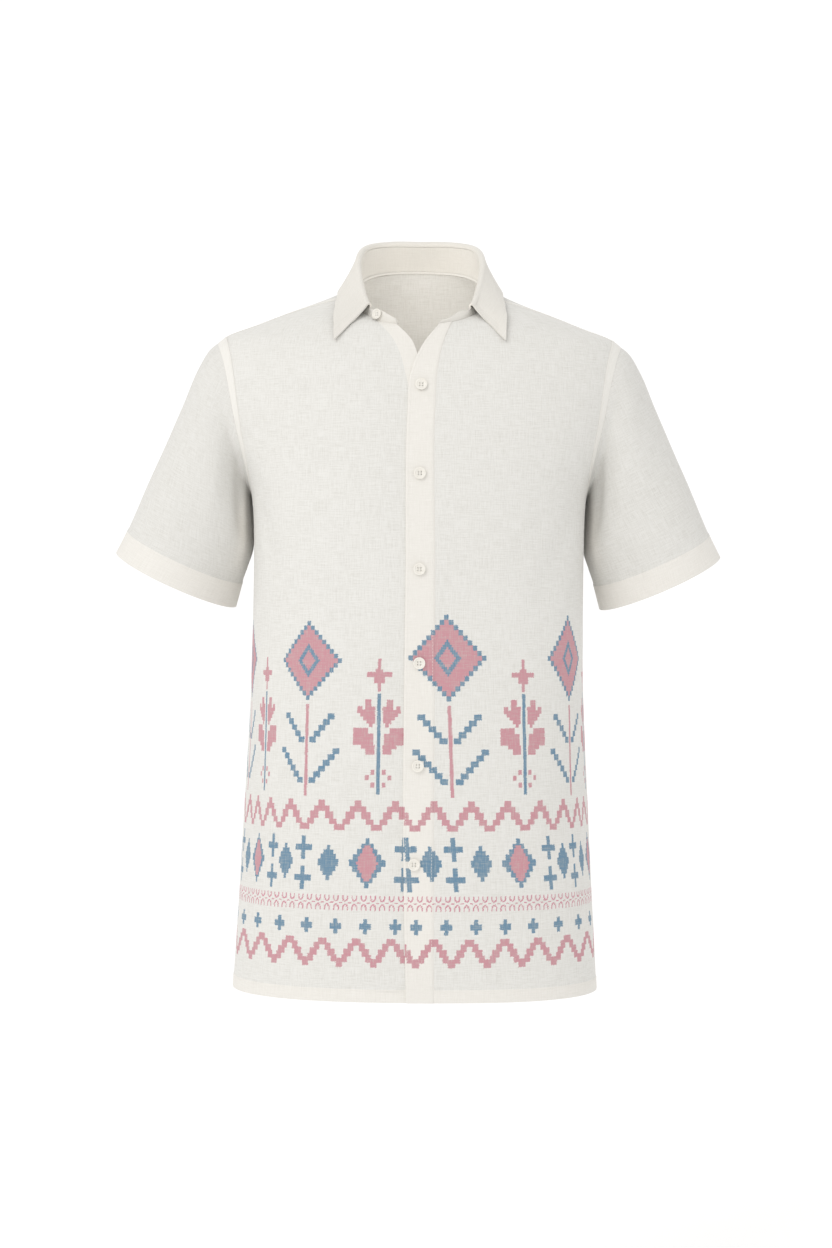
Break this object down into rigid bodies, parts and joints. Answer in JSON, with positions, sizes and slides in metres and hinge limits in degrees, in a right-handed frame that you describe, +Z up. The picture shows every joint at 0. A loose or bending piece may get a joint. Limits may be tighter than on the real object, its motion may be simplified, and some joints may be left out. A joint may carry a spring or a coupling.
{
  "type": "printed shirt",
  "caption": "Short-sleeved linen shirt with a pointed collar, worn open at the neck, filled out with no wearer, with a cross-stitch style print round its lower body.",
  "frame": {"origin": "on the shirt's centre line inside the neck, level with where the collar meets the shoulders", "axes": "+Z up, +Y towards the wearer's back, +X towards the wearer's left"},
  "size_m": [0.6336, 0.2429, 0.7902],
  "materials": {
    "linen_body": "matte",
    "linen_trim": "matte",
    "button": "satin"
  },
  "bodies": {
    "root": {"front_right": "linen_body", "front_left": "linen_body", "back": "linen_body", "yoke": "linen_body", "sleeve_left": "linen_body", "sleeve_right": "linen_body", "placket_left": "linen_trim", "button_band_right": "linen_trim", "collar_stand": "linen_trim", "collar_fall": "linen_trim", "button_1": "button", "button_2": "button", "button_3": "button", "button_4": "button", "button_5": "button", "button_6": "button", "button_collar": "button"}
  },
  "joints": []
}
